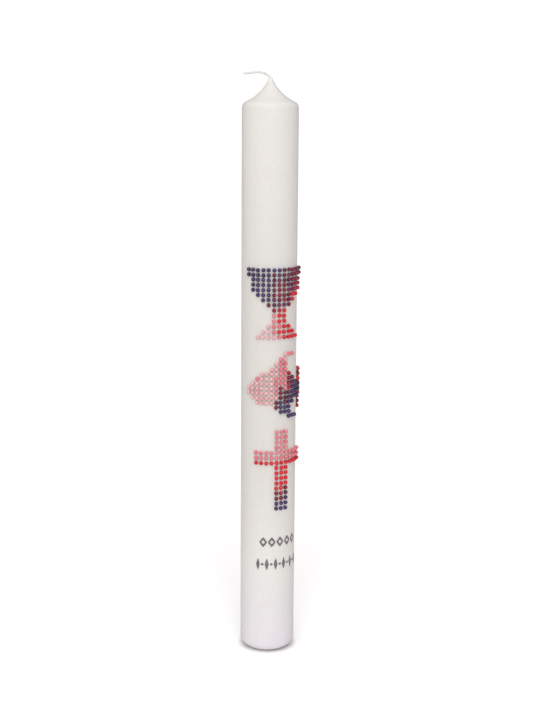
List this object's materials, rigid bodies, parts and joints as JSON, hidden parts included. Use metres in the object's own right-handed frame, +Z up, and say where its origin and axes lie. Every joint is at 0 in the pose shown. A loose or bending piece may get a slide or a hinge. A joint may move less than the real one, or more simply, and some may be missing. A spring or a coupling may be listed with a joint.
{
  "type": "unity candle",
  "caption": "Tall white dipped candle with a bent wick, decorated with ball-headed pins in the shapes of a chalice, a fish and a cross above rows of foil lozenges.",
  "frame": {"origin": "centre of the flat base", "axes": "+Z up along the candle, -Y out of the middle of the decorated side"},
  "size_m": [0.044, 0.0427, 0.4228],
  "materials": {
    "coat_wax": "satin white wax, slightly translucent",
    "core_wax": "matt white wax",
    "wick_cotton": "braided cotton, stiff with wax",
    "pin_steel": "drawn wire",
    "silver_foil": "bright metallic foil",
    "head_navy": "glossy ball head",
    "head_plum": "glossy ball head",
    "head_burgundy": "glossy ball head",
    "head_crimson": "glossy ball head",
    "head_red": "glossy ball head",
    "head_rose": "glossy ball head",
    "head_blush": "glossy ball head"
  },
  "bodies": {
    "root": {"overdip_coat": "coat_wax", "wax_core": "core_wax", "wick": "wick_cotton", "chalice_navy_heads": "head_navy", "chalice_plum_heads": "head_plum", "chalice_burgundy_heads": "head_burgundy", "chalice_crimson_heads": "head_crimson", "chalice_red_heads": "head_red", "chalice_rose_heads": "head_rose", "chalice_blush_heads": "head_blush", "chalice_pin_shanks": "pin_steel", "fish_navy_heads": "head_navy", "fish_plum_heads": "head_plum", "fish_burgundy_heads": "head_burgundy", "fish_crimson_heads": "head_crimson", "fish_red_heads": "head_red", "fish_rose_heads": "head_rose", "fish_blush_heads": "head_blush", "fish_pin_shanks": "pin_steel", "cross_navy_heads": "head_navy", "cross_plum_heads": "head_plum", "cross_burgundy_heads": "head_burgundy", "cross_crimson_heads": "head_crimson", "cross_red_heads": "head_red", "cross_rose_heads": "head_rose", "cross_pin_shanks": "pin_steel", "foil_open_lozenges": "silver_foil", "foil_solid_lozenges": "silver_foil", "foil_dots": "silver_foil"}
  },
  "joints": []
}
